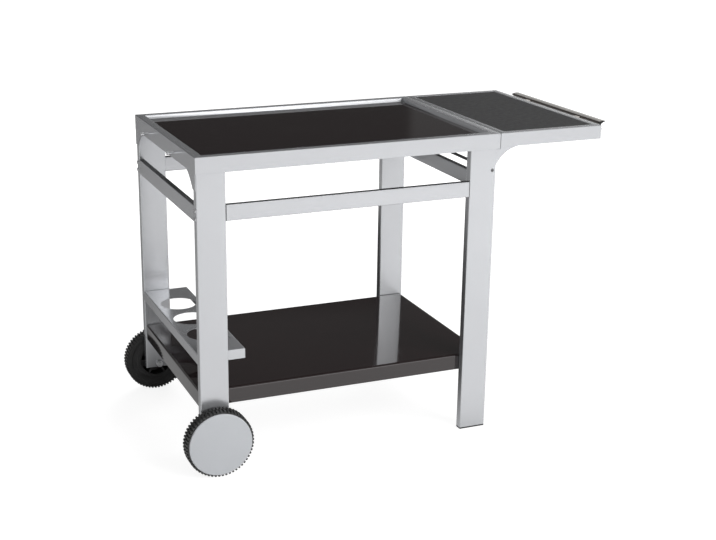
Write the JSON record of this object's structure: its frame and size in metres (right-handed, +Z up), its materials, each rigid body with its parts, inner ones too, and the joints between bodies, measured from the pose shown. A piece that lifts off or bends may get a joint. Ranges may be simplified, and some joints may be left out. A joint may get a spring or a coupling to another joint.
{
  "type": "outdoor pizza oven table",
  "caption": "Wheeled outdoor oven table with a recessed worktop, open lower shelf, bottle rack, utensil pegs and a fold-down side shelf that ends in a push handle.",
  "frame": {"origin": "centre of the footprint on the floor", "axes": "+X along the worktop from the wheels to the handle, +Y from the front to the back, +Z up"},
  "size_m": [1.193, 0.6476, 0.8],
  "materials": {
    "silver_paint": "satin",
    "gloss_black": "gloss",
    "grey_panel": "matte",
    "cap_grey": "satin",
    "black_plastic": "matte",
    "tyre_rubber": "matte",
    "chrome_plate": "polished",
    "zinc_steel": "satin",
    "dark_steel": "satin",
    "handle_aluminium": "satin"
  },
  "bodies": {
    "table": {"frame_front": "silver_paint", "frame_back": "silver_paint", "frame_left": "silver_paint", "frame_right": "silver_paint", "leg_front_left": "silver_paint", "leg_back_left": "silver_paint", "leg_front_right": "silver_paint", "leg_back_right": "silver_paint", "rail_front": "silver_paint", "rail_back": "silver_paint", "rail_left": "silver_paint", "rail_right": "silver_paint", "bottle_rack": "silver_paint", "worktop": "gloss_black", "lower_shelf": "gloss_black", "foot_front": "black_plastic", "foot_back": "black_plastic", "rail_end_plugs": "black_plastic", "utensil_pegs": "chrome_plate", "rail_bolts_left": "zinc_steel", "rail_bolts_right": "zinc_steel", "shelf_screws": "zinc_steel", "rack_screws": "zinc_steel", "front_axle": "zinc_steel", "back_axle": "zinc_steel", "axle_nuts": "zinc_steel", "wheel_spacers": "zinc_steel", "axle_retainers": "zinc_steel", "pivot_rod_clips": "zinc_steel", "pivot_rod": "dark_steel", "pivot_rod_caps": "dark_steel"},
    "side_shelf": {"side_rim_front": "silver_paint", "side_rim_back": "silver_paint", "side_rim_left": "silver_paint", "side_rim_right": "silver_paint", "side_panel": "grey_panel", "side_arm_front": "silver_paint", "side_arm_back": "silver_paint", "handle_bar": "handle_aluminium", "handle_brackets": "handle_aluminium", "handle_screws": "zinc_steel"},
    "front_wheel": {"front_tyre": "tyre_rubber", "front_hub": "black_plastic", "front_wheel_cap": "cap_grey"},
    "back_wheel": {"back_tyre": "tyre_rubber", "back_hub": "black_plastic", "back_wheel_cap": "cap_grey"}
  },
  "joints": [
    {"name": "side_shelf_fold", "type": "hinge", "parent": "table", "child": "side_shelf", "pos_m": [0.2353, 0, 0.7055], "axis": [0, 1, 0], "range_deg": [0, 90]},
    {"name": "front_wheel_spin", "type": "hinge", "parent": "table", "child": "front_wheel", "pos_m": [-0.5095, -0.3025, 0.087], "axis": [0, 1, 0], "continuous": true},
    {"name": "back_wheel_spin", "type": "hinge", "parent": "table", "child": "back_wheel", "pos_m": [-0.5095, 0.3025, 0.087], "axis": [0, 1, 0], "continuous": true}
  ]
}
